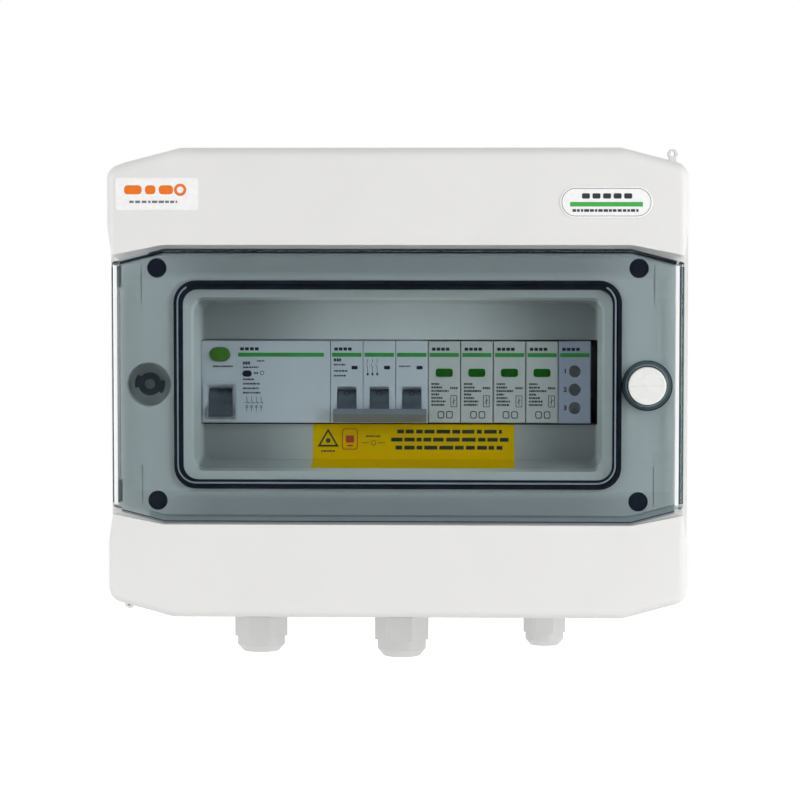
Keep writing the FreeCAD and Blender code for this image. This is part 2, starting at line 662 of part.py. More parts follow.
def gland_nut(x, thread_r, across, length, bore):
    """Cap nut: a hexagon with eased corners that ends in a smooth dome."""
    top, tip = gland_seat_z - gland_collar_h - 0.3, gland_seat_z - length
    shoulder = tip + 0.32 * length
    waist = shoulder - 0.45 * (shoulder - tip)
    flats = hexagon_z(across, x, gland_y, top, tip)
    r_dome, r_tip = across / 2 * corner_ease, across / 2 * 0.74
    outer = fuse([cyl_z(r_dome, x, gland_y, top, shoulder),
                  cone_z(r_dome, r_dome * 0.955, x, gland_y, shoulder, waist),
                  cone_z(r_dome * 0.955, r_tip, x, gland_y, waist, tip)])
    round_end = cyl_z(across / 2 * 0.985, x, gland_y, shoulder, tip)
    nut = flats.common(outer).cut(box(x - 30, x + 30, -96, -36, shoulder, tip - 1))
    nut = nut.fuse(round_end.common(outer)).removeSplitter()
    hollow = cyl_z(across / 2 - 3.2, x, gland_y, top + 1, tip + 5.0)
    return cut(nut, [hollow, cyl_z(bore + 0.5, x, gland_y, tip + 6, tip - 1)])


def gland_seal(x, thread_r, across, length, bore):
    tip = gland_seat_z - length
    ring = cyl_z(across / 2 - 3.5, x, gland_y, gland_seat_z - gland_neck_h - 0.2, tip + 5.2)
    return ring.cut(cyl_z(bore, x, gland_y, -100, -170))


def gland_locknut(x, thread_r, across, length, bore):
    nut = hexagon_z(across - 1.5, x, gland_y, -123.5, -119.3)
    return nut.cut(cyl_z(thread_r + 0.05, x, gland_y, -110, -130))


# --- Terminal bars and wires -----------------------------------------------------------------

def terminal_bar(x):
    bar = box(x - bar_half_l, x + bar_half_l, bar_y - bar_half_y, bar_y + bar_half_y,
              bar_z - bar_half_z, bar_z + bar_half_z)
    holes = [cyl_z(2.3, x + bar_pitch * k, bar_y, -60, -100) for k in (-1, 0, 1)]
    return cut(bar, holes)


def bar_holders():
    """Insulating feet that keep the terminal bars off the case."""
    back = bar_y + bar_half_y
    return Part.makeCompound([box(x - 4.5, x + 4.5, back + 2, back, bar_z - 5, bar_z + 5)
                              for x in holder_places()])


def bar_screws():
    return Part.makeCompound([terminal_screw(x + bar_pitch * k, bar_z, bar_y - bar_half_y, 2.4)
                              for x in bars.values() for k in (-1, 0, 1)])


def wire(points, bend):
    """Round wire along straight runs joined by tangent arcs of one radius."""
    pts = [V(*p) for p in points]
    edges, last = [], pts[0]
    for before, here, after in zip(pts, pts[1:], pts[2:]):
        a, b = before.sub(here).normalize(), after.sub(here).normalize()
        half = math.acos(max(-1.0, min(1.0, a.dot(b)))) / 2
        reach = bend / math.tan(half)
        start, end = here.add(V(a).multiply(reach)), here.add(V(b).multiply(reach))
        middle = here.add(a.add(b).normalize().multiply(bend / math.sin(half) - bend))
        edges += [Part.LineSegment(last, start).toShape(), Part.Arc(start, middle, end).toShape()]
        last = end
    edges.append(Part.LineSegment(last, pts[-1]).toShape())
    path = Part.Wire(edges)
    way = pts[1].sub(pts[0])
    section = Part.Wire([Part.Circle(pts[0], way, wire_r).toShape()])
    return path.makePipeShell([section], True, False)


def jumper(x0, x1, height):
    low = body_z - 10
    return wire([(x0, terminal_y, low), (x0, terminal_y, height), (x1, terminal_y, height),
                 (x1, terminal_y, low)], 7.0)


def drop_wire(x):
    return wire([(x, terminal_y, -body_z + 10), (x, terminal_y, -body_z - 12), (x, bar_y, -body_z - 22),
                 (x, bar_y, bar_z + 1)], 6.0)


def phase_wires():
    sources = pole_x(0, 3)
    return Part.makeCompound([jumper(a, b, 66 - 7 * k)
                              for k, (a, b) in enumerate(zip(sources, reversed(mcb_x)))])


# --- Plates and labels on the cover ----------------------------------------------------------

def badge():
    return prism(rect(22.2, 8.6, 1.2, front_y, -128.1, 102.1), front_y - 0.25)


def nameplate():
    plate = prism(stadium(49.3, 16.7, front_y, 111.25, 97.75), front_y - 0.6)
    return fillet_where(plate, 0.25, lambda e: at_y(e, front_y - 0.6))


def notice_label():
    """Thin label that lies on the recess floor and turns up onto its lower wall."""
    t, lift, bottom = 0.25, 0.02, -floor[1]
    slope = (ledge[1] - floor[1]) / (floor_y - ledge_y)
    front = ledge_y + 0.5
    turn = bottom - slope * (floor_y - front) + lift
    points = [(floor_y - lift, -23.3), (floor_y - t, -23.3), (floor_y - t, bottom + t), (front, turn + t),
              (front, turn), (floor_y - lift, bottom + lift)]
    return profile_x(points, -47.0, 62.7)


# --- Write every node ------------------------------------------------------------------------

save("rear_case", rear_case())
save("case_gasket", case_gasket())
save("front_cover", front_cover())
save("window_well", window_well())
save("cover_screws", cover_screws())
save("screw_plugs", screw_plugs())
save("door_gasket", door_gasket())
save("latch_strikers", Part.makeCompound([striker(s * latch_x) for s in (1, -1)]))
save("striker_screws", Part.makeCompound([striker_screw(s * latch_x) for s in (1, -1)]))
save("door", door())
save("hinge_pins", hinge_pins())
save("latch_knob", latch_knob())
save("latch_retaining_ring", latch_retaining_ring())
save("din_rail", din_rail())
save("rail_screws", rail_screws())
save("rcd_case", rcd_case())
save("rcd_terminal_screws", terminal_screws(0, 4))
save("rcd_toggle", toggle(rcd_toggle_x, rcd_toggle_w, rcd_toggle_z))
save("rcd_test_button", rcd_test_button())
save("rcd_din_clip", din_clip(rcd_clip_x))
for k in range(3):
    save("mcb_pole_%d" % (k + 1), mcb_pole(k))
save("mcb_terminal_screws", terminal_screws(4, 3))
save("mcb_toggles", mcb_toggles())
save("mcb_tie_bar", mcb_tie_bar())
save("mcb_din_clips", Part.makeCompound([din_clip(x) for x in mcb_x]))
save("spd_base", spd_base())
save("spd_terminal_screws", terminal_screws(7, 4))
save("spd_din_clip", din_clip(spd_clip_x))
for k in range(4):
    save("spd_cartridge_%d" % (k + 1), spd_cartridge(k))
save("terminal_block", terminal_block())
save("terminal_block_screws", terminal_block_screws())
save("terminal_block_clip", din_clip(block_x))
for side, sizes in glands.items():
    save("gland_body_" + side, gland_body(*sizes))
    save("gland_nut_" + side, gland_nut(*sizes))
    save("gland_seal_" + side, gland_seal(*sizes))
save("gland_locknuts", Part.makeCompound([gland_locknut(*sizes) for sizes in glands.values()]))
for name, x in bars.items():
    save(name, terminal_bar(x))
save("bar_holders", bar_holders())
save("bar_screws", bar_screws())
save("phase_wires", phase_wires())
save("neutral_wire", drop_wire(bars["neutral_bar"]))
save("earth_wire", drop_wire(bars["earth_bar"]))
save("badge", badge())
save("nameplate", nameplate())
save("notice_label", notice_label())
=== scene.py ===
import json
import math
import random

import bmesh
import bpy
from mathutils import Matrix, Vector


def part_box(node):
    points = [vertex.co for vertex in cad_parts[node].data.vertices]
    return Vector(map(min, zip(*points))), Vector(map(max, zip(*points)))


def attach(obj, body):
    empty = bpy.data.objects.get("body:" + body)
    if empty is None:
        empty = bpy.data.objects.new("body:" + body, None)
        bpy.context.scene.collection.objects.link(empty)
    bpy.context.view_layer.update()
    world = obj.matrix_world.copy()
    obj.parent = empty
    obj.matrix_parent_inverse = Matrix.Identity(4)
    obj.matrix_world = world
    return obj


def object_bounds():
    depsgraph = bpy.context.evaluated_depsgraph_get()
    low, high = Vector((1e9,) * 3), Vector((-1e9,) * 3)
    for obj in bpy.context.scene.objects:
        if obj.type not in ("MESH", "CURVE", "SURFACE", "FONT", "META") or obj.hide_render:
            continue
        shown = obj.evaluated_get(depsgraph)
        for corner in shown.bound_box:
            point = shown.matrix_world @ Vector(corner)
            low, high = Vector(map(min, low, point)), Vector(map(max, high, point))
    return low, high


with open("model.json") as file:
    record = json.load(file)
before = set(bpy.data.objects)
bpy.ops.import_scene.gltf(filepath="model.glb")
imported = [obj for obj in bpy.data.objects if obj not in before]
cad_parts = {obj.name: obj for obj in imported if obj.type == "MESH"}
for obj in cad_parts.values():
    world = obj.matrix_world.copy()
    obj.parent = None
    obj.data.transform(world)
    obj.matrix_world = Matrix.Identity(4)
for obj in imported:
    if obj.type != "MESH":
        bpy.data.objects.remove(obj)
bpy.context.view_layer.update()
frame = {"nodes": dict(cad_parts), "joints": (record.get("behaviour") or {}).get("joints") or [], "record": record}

# Meshes and the camera are worked out in millimetres, lights and the floor in metres.
MM = 0.001
nodes = frame["nodes"]
scene = bpy.context.scene


def box_mm(node):
    """Low and high corner of a node's box."""
    low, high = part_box(node)
    return low / MM, high / MM


def middle_x(node):
    low, high = box_mm(node)
    return (low.x + high.x) / 2


# --- Materials -------------------------------------------------------------------------------

# Most of a noise texture's values lie between these two.
NOISE_LOW, NOISE_HIGH = 0.3, 0.7


def new_material(name):
    mat = bpy.data.materials.new(name)
    mat.use_nodes = True
    tree = mat.node_tree
    return mat, tree, tree.nodes["Principled BSDF"]


def noise(tree, scale, detail=2.0, roughness=0.5, stretch=(1, 1, 1)):
    """Noise fixed to the object, so that it moves with it."""
    coords = tree.nodes.new("ShaderNodeTexCoord")
    mapping = tree.nodes.new("ShaderNodeMapping")
    mapping.inputs["Scale"].default_value = stretch
    made = tree.nodes.new("ShaderNodeTexNoise")
    made.inputs["Scale"].default_value = scale
    made.inputs["Detail"].default_value = detail
    made.inputs["Roughness"].default_value = roughness
    tree.links.new(coords.outputs["Object"], mapping.inputs["Vector"])
    tree.links.new(mapping.outputs["Vector"], made.inputs["Vector"])
    return made.outputs["Fac"]


def remap(tree, value, low, high, from_low=NOISE_LOW, from_high=NOISE_HIGH):
    """Takes the usual span of a noise value, or another span, to low..high."""
    made = tree.nodes.new("ShaderNodeMapRange")
    made.inputs["From Min"].default_value = from_low
    made.inputs["From Max"].default_value = from_high
    made.inputs["To Min"].default_value = low
    made.inputs["To Max"].default_value = high
    tree.links.new(value, made.inputs["Value"])
    return made.outputs["Result"]


def shades(tree, value, dark, light):
    """Colour that runs from dark to light as the noise value rises."""
    ramp = tree.nodes.new("ShaderNodeValToRGB")
    ramp.color_ramp.elements[0].position = NOISE_LOW
    ramp.color_ramp.elements[0].color = (*dark, 1)
    ramp.color_ramp.elements[1].position = NOISE_HIGH
    ramp.color_ramp.elements[1].color = (*light, 1)
    tree.links.new(value, ramp.inputs["Fac"])
    return ramp.outputs["Color"]


def grey_ramp(tree, value, stops):
    """Grey level that runs through (place, level) stops."""
    ramp = tree.nodes.new("ShaderNodeValToRGB")
    elements = ramp.color_ramp.elements
    while len(elements) < len(stops):
        elements.new(0.5)
    for element, (place, level) in zip(elements, stops):
        element.position = place
        element.color = (level, level, level, 1)
    tree.links.new(value, ramp.inputs["Fac"])
    return ramp.outputs["Color"]


def axis_distance(tree, axis):
    """Distance from the middle of the object along one axis, in metres."""
    coords = tree.nodes.new("ShaderNodeTexCoord")
    parts = tree.nodes.new("ShaderNodeSeparateXYZ")
    side = tree.nodes.new("ShaderNodeMath")
    side.operation = "ABSOLUTE"
    tree.links.new(coords.outputs["Object"], parts.inputs["Vector"])
    tree.links.new(parts.outputs[axis], side.inputs[0])
    return side.outputs["Value"]


def bump(tree, shader, value, strength, depth):
    made = tree.nodes.new("ShaderNodeBump")
    made.inputs["Strength"].default_value = strength
    made.inputs["Distance"].default_value = depth
    tree.links.new(value, made.inputs["Height"])
    tree.links.new(made.outputs["Normal"], shader.inputs["Normal"])


def moulded(name, colour, rough=0.42, spread=0.05, grain=1500.0, depth=0.00006, coat=0.0):
    """Moulded plastic: a fine eroded grain, faint flow shades and an uneven gloss."""
    mat, tree, shader = new_material(name)
    dark = [c * (1 - spread) for c in colour]
    light = [min(1.0, c * (1 + spread)) for c in colour]
    flow, gloss = noise(tree, 22.0, 4.0), noise(tree, 90.0, 3.0)
    tree.links.new(shades(tree, flow, dark, light), shader.inputs["Base Color"])
    tree.links.new(remap(tree, gloss, rough - 0.05, rough + 0.06), shader.inputs["Roughness"])
    bump(tree, shader, noise(tree, grain, 2.0, 0.6), 0.35, depth)
    shader.inputs["IOR"].default_value = 1.5
    shader.inputs["Coat Weight"].default_value = coat
    shader.inputs["Coat Roughness"].default_value = 0.12
    return mat


def rubber(name, colour, rough, shine=0.5):
    """Rubber or soft insulation: matt and slightly dusty."""
    mat, tree, shader = new_material(name)
    dark, light = [c * 0.8 for c in colour], [c * 1.5 for c in colour]
    tree.links.new(shades(tree, noise(tree, 60.0, 5.0), dark, light), shader.inputs["Base Color"])
    gloss = noise(tree, 220.0, 3.0)
    tree.links.new(remap(tree, gloss, rough - 0.1, rough + 0.12), shader.inputs["Roughness"])
    bump(tree, shader, noise(tree, 900.0, 4.0, 0.65), 0.4, 0.00008)
    shader.inputs["Specular IOR Level"].default_value = shine
    return mat


def painted_shade_well(name, colour):
    """Case plastic with painted shade, darker from the middle of the recess towards its ends and its foot."""
    mat = moulded(name, colour, 0.42, 0.012, 1700.0, 0.00005)
    tree = mat.node_tree
    shader = tree.nodes["Principled BSDF"]
    plain = shader.inputs["Base Color"].links[0].from_socket
    half_width = 0.12
    # Painted shade: darker from the middle towards the ends of the recess, while the walls stay light.
    painted_side_shade = grey_ramp(tree, remap(tree, axis_distance(tree, "X"), 0.0, 1.0, 0.0, half_width),
                       ((0.0, 1.0), (0.30, 0.92), (0.62, 0.56), (0.885, 0.48), (0.9, 0.98)))
    coords = tree.nodes.new("ShaderNodeTexCoord")
    parts = tree.nodes.new("ShaderNodeSeparateXYZ")
    tree.links.new(coords.outputs["Object"], parts.inputs["Vector"])
    # Painted shade: darker towards the foot of the recess.
    foot = remap(tree, parts.outputs["Z"], 0.86, 1.0, -0.030, 0.020)
    both = tree.nodes.new("ShaderNodeMix")
    both.data_type = "RGBA"
    both.blend_type = "MULTIPLY"
    both.inputs["Factor"].default_value = 1.0
    last = tree.nodes.new("ShaderNodeVectorMath")
    last.operation = "SCALE"
    tree.links.new(plain, both.inputs["A"])
    tree.links.new(painted_side_shade, both.inputs["B"])
    tree.links.new(both.outputs["Result"], last.inputs[0])
    tree.links.new(foot, last.inputs["Scale"])
    tree.links.new(last.outputs["Vector"], shader.inputs["Base Color"])
    return mat


def metal(name, colour, rough, streak):
    """Drawn or plated metal, with fine streaks along the axis that streak stretches least."""
    mat, tree, shader = new_material(name)
    shader.inputs["Metallic"].default_value = 1.0
    fine = noise(tree, 700.0, 4.0, 0.6, streak)
    dark, light = [c * 0.85 for c in colour], [min(1, c * 1.08) for c in colour]
    tree.links.new(shades(tree, noise(tree, 35.0, 4.0), dark, light), shader.inputs["Base Color"])
    tree.links.new(remap(tree, fine, rough - 0.08, rough + 0.14), shader.inputs["Roughness"])
    bump(tree, shader, fine, 0.25, 0.00004)
    return mat


def printed(name, colour, rough, shine=0.5):
    """Ink or film: slightly mottled, with a faint dot screen in its gloss."""
    mat, tree, shader = new_material(name)
    shader.inputs["Specular IOR Level"].default_value = shine
    dark, light = [c * 0.96 for c in colour], [min(1, c * 1.03) for c in colour]
    tree.links.new(shades(tree, noise(tree, 420.0, 3.0), dark, light), shader.inputs["Base Color"])
    screen = 1100.0
    tree.links.new(remap(tree, noise(tree, screen), rough - 0.06, rough + 0.08), shader.inputs["Roughness"])
    bump(tree, shader, noise(tree, screen), 0.15, 0.00003)
    return mat


def smoked_clear(name, absorb, density):
    """Smoked clear plastic: its tint comes from the path through it, so edge-on walls look dark."""
    mat, tree, shader = new_material(name)
    shader.inputs["Base Color"].default_value = (0.99, 1.0, 1.0, 1)
    shader.inputs["Transmission Weight"].default_value = 1.0
    shader.inputs["IOR"].default_value = 1.49
    tree.links.new(remap(tree, noise(tree, 40.0, 4.0), 0.0, 0.02), shader.inputs["Roughness"])
    bump(tree, shader, noise(tree, 26.0, 2.0), 0.03, 0.0001)
    # Light from the lamps goes straight through, so that what lies behind the door is lit.
    see_through = tree.nodes.new("ShaderNodeBsdfTransparent")
    see_through.inputs["Color"].default_value = (0.96, 0.96, 0.96, 1)
    rays = tree.nodes.new("ShaderNodeLightPath")
    mix = tree.nodes.new("ShaderNodeMixShader")
    inside = tree.nodes.new("ShaderNodeVolumeAbsorption")
    inside.inputs["Color"].default_value = (*absorb, 1)
    inside.inputs["Density"].default_value = density
    out = tree.nodes["Material Output"]
    tree.links.new(rays.outputs["Is Shadow Ray"], mix.inputs[0])
    tree.links.new(shader.outputs["BSDF"], mix.inputs[1])
    tree.links.new(see_through.outputs["BSDF"], mix.inputs[2])
    tree.links.new(mix.outputs["Shader"], out.inputs["Surface"])
    tree.links.new(inside.outputs["Volume"], out.inputs["Volume"])
    return mat


def painted_shade_sheet(name, tint):
    """Clear sheet of painted shade: it dims what lies behind it and fades out towards its ends and its inner edge.
    """
    mat, tree, shader = new_material(name)
    film = tree.nodes.new("ShaderNodeBsdfTransparent")
    fade = tree.nodes.new("ShaderNodeMath")
    fade.operation = "MULTIPLY"
    tree.links.new(remap(tree, axis_distance(tree, "X"), 1.0, 0.0, 0.100, 0.142), fade.inputs[0])
    tree.links.new(remap(tree, axis_distance(tree, "Z"), 0.0, 1.0, 0.0567, 0.061), fade.inputs[1])
    mix = tree.nodes.new("ShaderNodeMix")
    mix.data_type = "RGBA"
    mix.inputs["A"].default_value = (1, 1, 1, 1)
    tree.links.new(fade.outputs["Value"], mix.inputs["Factor"])
    dark = [c * 0.99 for c in tint]
    tree.links.new(shades(tree, noise(tree, 30.0, 3.0), dark, tint), mix.inputs["B"])
    tree.links.new(mix.outputs["Result"], film.inputs["Color"])
    tree.links.new(film.outputs["BSDF"], tree.nodes["Material Output"].inputs["Surface"])
    tree.nodes.remove(shader)
    return mat


# Linear colours. The keys are the record's material slots.
materials = {
    "case_plastic": moulded("case_plastic", (0.80, 0.795, 0.78), 0.40, 0.012, 1700.0, 0.00005),
    "door_clear": smoked_clear("door_clear", (0.336, 0.45, 0.482), 220.0),
    "seal_rubber": rubber("seal_rubber", (0.016, 0.017, 0.030), 0.66, 0.25),
    "dark_plastic": moulded("dark_plastic", (0.024, 0.026, 0.048), 0.38, 0.15, 1200.0),
    "striker_plastic": moulded("striker_plastic", (0.045, 0.055, 0.065), 0.35, 0.12, 1000.0),
    "knob_plastic": moulded("knob_plastic", (0.82, 0.82, 0.80), 0.28, 0.01, 800.0, 0.00002, coat=0.3),
    "device_plastic": moulded("device_plastic", (0.84, 0.85, 0.90), 0.45, 0.03, 1400.0, 0.00006),
    "block_plastic": moulded("block_plastic", (0.56, 0.585, 0.71), 0.42, 0.05, 1400.0, 0.00006),
    "cartridge_plastic": moulded("cartridge_plastic", (0.78, 0.76, 0.74), 0.45, 0.02, 1400.0, 0.00006),
    "lever_plastic": moulded("lever_plastic", (0.13, 0.145, 0.17), 0.36, 0.10, 1100.0, 0.00005),
    "tie_plastic": moulded("tie_plastic", (0.31, 0.325, 0.36), 0.40, 0.08, 1100.0, 0.00005),
    "test_green": moulded("test_green", (0.097, 0.27, 0.03), 0.32, 0.10, 900.0, 0.00003, coat=0.1),
    "clip_plastic": moulded("clip_plastic", (0.05, 0.05, 0.055), 0.4, 0.15, 1000.0),
    "gland_plastic": moulded("gland_plastic", (0.71, 0.71, 0.70), 0.36, 0.02, 900.0, 0.00004),
    "steel": metal("steel", (0.62, 0.62, 0.60), 0.32, (1, 8, 8)),
    "brass": metal("brass", (0.78, 0.58, 0.27), 0.28, (1, 8, 8)),
    "wire_brown": rubber("wire_brown", (0.11, 0.045, 0.022), 0.42),
    "wire_blue": rubber("wire_blue", (0.02, 0.08, 0.42), 0.42),
    "wire_green": rubber("wire_green", (0.07, 0.30, 0.05), 0.42),
    "label_white": printed("label_white", (0.94, 0.94, 0.94), 0.30),
    "label_yellow": printed("label_yellow", (1.0, 0.63, 0.0), 0.5, shine=0.08),
}
# Finishes that only the added pieces have.
ink = {
    "dark": printed("ink_dark", (0.035, 0.04, 0.05), 0.45),
    "grey": printed("ink_grey", (0.18, 0.18, 0.19), 0.45),
    "green": printed("ink_green", (0.066, 0.43, 0.082), 0.38),
    "orange": printed("ink_orange", (0.88, 0.19, 0.018), 0.36),
    "red": printed("ink_red", (0.62, 0.07, 0.03), 0.4),
    "window": moulded("window_green", (0.018, 0.14, 0.013), 0.22, 0.2, 500.0, 0.00002, coat=0.5),
    # Painted highlight for the tip of the door's sealing rib.
    "rib_highlight": moulded("rib_painted_highlight", (0.62, 0.63, 0.69), 0.3, 0.06, 900.0, 0.00002),
    "ring_face": moulded("ring_grey", (0.50, 0.52, 0.54), 0.4, 0.08, 900.0, 0.00002),
    # Painted shade for the collar round the knob.
    "collar": moulded("collar_painted_shade", (0.36, 0.39, 0.42), 0.4, 0.08, 900.0, 0.00002),
    # Painted highlight for the door's side edges.
    "edge": moulded("edge_painted_highlight", (0.93, 0.94, 0.94), 0.2, 0.01, 700.0, 0.00001, coat=0.4),
    # Painted shade for the gap below the door.
    "pocket": moulded("pocket_painted_shade", (0.40, 0.41, 0.42), 0.45, 0.04, 900.0, 0.00002),
    # Painted shade: a sheet that dims the door's top and bottom bands.
    "film": painted_shade_sheet("band_painted_shade", (0.89, 0.89, 0.895)),
}
slot_of = {part["node"]: part["material_slot"] for part in frame["record"]["subparts"]}
# The window well gets the case plastic with painted shade.
well_painted_shade = painted_shade_well("well_painted_shade", (0.96, 0.955, 0.94))
for node, piece in nodes.items():
    piece.data.materials.clear()
    piece.data.materials.append(well_painted_shade if node == "window_well" else materials[slot_of[node]])


# --- Mesh helpers ----------------------------------------------------------------------------

def finish_piece(bm, name, body, material):
    """Turns a bmesh in millimetres into a flat-shaded piece that rides on a body."""
    bmesh.ops.scale(bm, vec=(MM, MM, MM), verts=bm.verts)
    bmesh.ops.recalc_face_normals(bm, faces=bm.faces)
    mesh = bpy.data.meshes.new(name)
    bm.to_mesh(mesh)
    bm.free()
    for face in mesh.polygons:
        face.use_smooth = False
    mesh.materials.append(material)
    piece = bpy.data.objects.new(name, mesh)
    scene.collection.objects.link(piece)
    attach(piece, body)
    return piece


def prism(bm, outline, y, depth):
    """Closed slab of an (x, z) outline, from the plane Y=y forward by depth."""
    back = [bm.verts.new((x, y, z)) for x, z in outline]
    front = [bm.verts.new((x, y - depth, z)) for x, z in outline]
    bm.faces.new(back)
    bm.faces.new(list(reversed(front)))
    count = len(outline)
    for i in range(count):
        j = (i + 1) % count
        bm.faces.new((back[i], front[i], front[j], back[j]))


def band(bm, outer, inner, y, depth, closed=True):
    """Solid ring, or open strip, between two outlines with the same number of points."""
    rows = [[bm.verts.new((x, y - d, z)) for x, z in line] for line, d in
            ((outer, 0), (outer, depth), (inner, depth), (inner, 0))]
    count = len(outer)
    for k in range(4):
        here, after = rows[k], rows[(k + 1) % 4]
        for i in range(count if closed else count - 1):
            j = (i + 1) % count
            bm.faces.new((here[i], here[j], after[j], after[i]))
    if not closed:
        bm.faces.new([row[0] for row in rows])
        bm.faces.new([row[-1] for row in reversed(rows)])


def round_rect(x0, x1, z0, z1, r, steps=6):
    """Outline of a rectangle with round corners, from its right side round by the top."""
    points = []
    for cx, cz, start in ((x1 - r, z1 - r, 0), (x0 + r, z1 - r, 90),
                          (x0 + r, z0 + r, 180), (x1 - r, z0 + r, 270)):
        for k in range(steps + 1):
            a = math.radians(start + 90 * k / steps)
            points.append((cx + r * math.cos(a), cz + r * math.sin(a)))
    return points


def circle(x, z, r, count=32):
    return [(x + r * math.cos(2 * math.pi * k / count), z + r * math.sin(2 * math.pi * k / count))
            for k in range(count)]


LIFT = 0.05                 # how far print stands off the surface
SINK = 0.02                 # how far print reaches into it


def print_area(bm, outline, y, lift=LIFT):
    """Flat print on the surface Y=y."""
    prism(bm, outline, y + SINK, SINK + lift)


def print_frame(bm, outer, inner, y, lift=LIFT):
    """Printed line between two outlines."""
    band(bm, outer, inner, y + SINK, SINK + lift)


def bar(bm, x0, x1, z0, z1, y, r=0.12):
    """Printed bar with slightly round corners."""
    r = min(r, (x1 - x0) * 0.45, (z1 - z0) * 0.45)
    print_area(bm, round_rect(x0, x1, z0, z1, r, 2), y)


def greek(bm, x0, x1, z, height, y, rng, word=(0.5, 1.5), gap=0.32):
    """A line of meaningless dashes about as dense as small print."""
    shortest = 0.3
    x = x0
    while x < x1 - shortest:
        length = min(rng.uniform(*word), x1 - x)
        bar(bm, x, x + length, z - height / 2, z + height / 2, y, 0.1)
        x += length + gap * rng.uniform(0.8, 1.3)


def stroke(bm, x0, z0, x1, z1, width, y):
    """A straight printed line of a given width."""
    along = Vector((x1 - x0, z1 - z0)).normalized()
    side = Vector((-along.y, along.x)) * width / 2
    outline = [(x0 + side.x, z0 + side.y), (x0 - side.x, z0 - side.y),
               (x1 - side.x, z1 - side.y), (x1 + side.x, z1 + side.y)]
    print_area(bm, outline, y)


def ring(bm, x, z, r, width, y):
    print_frame(bm, circle(x, z, r), circle(x, z, r - width), y)


# --- Camera ----------------------------------------------------------------------------------

view_distance, view_azimuth, view_elevation = 1650.0, math.radians(2.0), math.radians(3.5)
centre = Vector((0, box_mm("front_cover")[0].y, 0))
away = Vector((math.sin(view_azimuth) * math.cos(view_elevation),
               -math.cos(view_azimuth) * math.cos(view_elevation), math.sin(view_elevation)))
framing = Vector((1.6, 0, -7.75))
aim = centre + framing
camera_data = bpy.data.cameras.new("camera")
camera_data.lens = 139.0
camera_data.sensor_width = 36.0
camera_data.clip_end = 50.0
camera = bpy.data.objects.new("camera", camera_data)
camera.location = (centre + away * view_distance) * MM
camera.rotation_euler = (aim * MM - camera.location).to_track_quat("-Z", "Y").to_euler()
scene.collection.objects.link(camera)
scene.camera = camera


# --- Residual current device -----------------------------------------------------------------

# The noses of all modules end in one plane and carry a stripe, with a row of blocks above it for a mark.
rcd_low, rcd_high = box_mm("rcd_case")
face_y = rcd_low.y
stripe_z, stripe_h = 14.8, 2.2
mark_bottom, mark_top = 17.1, 18.8
TITLE_WORD, TITLE_GAP = (0.9, 1.2), 0.25
FINE = 0.25                 # width of a thin printed line


def rcd_print(x0, text_x):
    """Blocks, dashes and strokes where the device has its text and circuit drawing."""
    rng = random.Random(11)
    bm = bmesh.new()
    for k in range(4):
        bar(bm, text_x - 1.6 + 2.7 * k, text_x + 0.5 + 2.7 * k, mark_bottom, mark_top, face_y, 0.3)
    greek(bm, text_x, text_x + 4.0, 10.2, 1.7, face_y, rng, TITLE_WORD, TITLE_GAP)
    for left, right, z, height in ((7.6, 12.0, 11.4, 0.9), (0.0, 8.4, 7.9, 0.9), (6.0, 8.2, 4.8, 1.1)):
        greek(bm, text_x + left, text_x + right, z, height, face_y, rng)
    ring(bm, text_x + 10.4, 4.8, 1.15, 0.3, face_y)
    for right, z in ((6.0, 1.3), (9.0, -1.1), (9.0, -3.6), (9.4, -6.0)):
        greek(bm, text_x, text_x + right, z, 0.95, face_y, rng)
    for k in range(4):
        x = text_x + 2.0 + 2.6 * k
        stroke(bm, x, -8.0, x, -10.2, FINE, face_y)
        stroke(bm, x, -10.2, x + 0.9, -12.2, FINE, face_y)
        stroke(bm, x, -12.6, x, -16.2, FINE, face_y)
        ring(bm, x, -13.6, 0.75, 0.2, face_y)
    stroke(bm, text_x + 0.6, -11.3, text_x + 11.0, -11.3, 0.2, face_y)
    greek(bm, x0 + 6.4, x0 + 17.4, 8.4, 0.9, face_y, rng, (0.8, 1.8))
    finish_piece(bm, "rcd_print", "enclosure", ink["dark"])


def rcd_details():
    x0, x1 = rcd_low.x, rcd_high.x
    text_x = x0 + 22.9
    bm = bmesh.new()
    bar(bm, text_x - 2.7, x1 - 3.4, stripe_z - stripe_h / 2, stripe_z + stripe_h / 2, face_y)
    finish_piece(bm, "rcd_stripe", "enclosure", ink["green"])
    rcd_print(x0, text_x)
    bm = bmesh.new()
    pill = round_rect(text_x, text_x + 4.4, 3.1, 5.8, 1.3)
    print_area(bm, pill, face_y, 0.1)
    print_frame(bm, round_rect(text_x - 0.35, text_x + 4.75, 2.75, 6.15, 1.65), pill, face_y, 0.22)
    finish_piece(bm, "rcd_indicator", "enclosure", materials["dark_plastic"])
    bm = bmesh.new()
    low, high = box_mm("rcd_toggle")
    outer = round_rect(low.x - 2.2, high.x + 2.6, -21.6, 0.2, 1.6)
    inner = round_rect(low.x - 1.0, high.x + 1.2, -20.4, -1.0, 0.8)
    band(bm, outer, inner, face_y + SINK, 2.0)
    finish_piece(bm, "rcd_lever_bezel", "enclosure", materials["device_plastic"])


rcd_details()


# --- Breakers --------------------------------------------------------------------------------

def module_head(bm_dark, bm_green, x0, x1, y, blocks):
    """The mark and the stripe that head every narrow module."""
    bar(bm_green, x0 + 0.7, x1 - 0.7, stripe_z - stripe_h / 2, stripe_z + stripe_h / 2, y)
    for k in range(blocks):
        bar(bm_dark, x0 + 1.9 + 2.5 * k, x0 + 3.9 + 2.5 * k, mark_bottom, mark_top, y, 0.3)


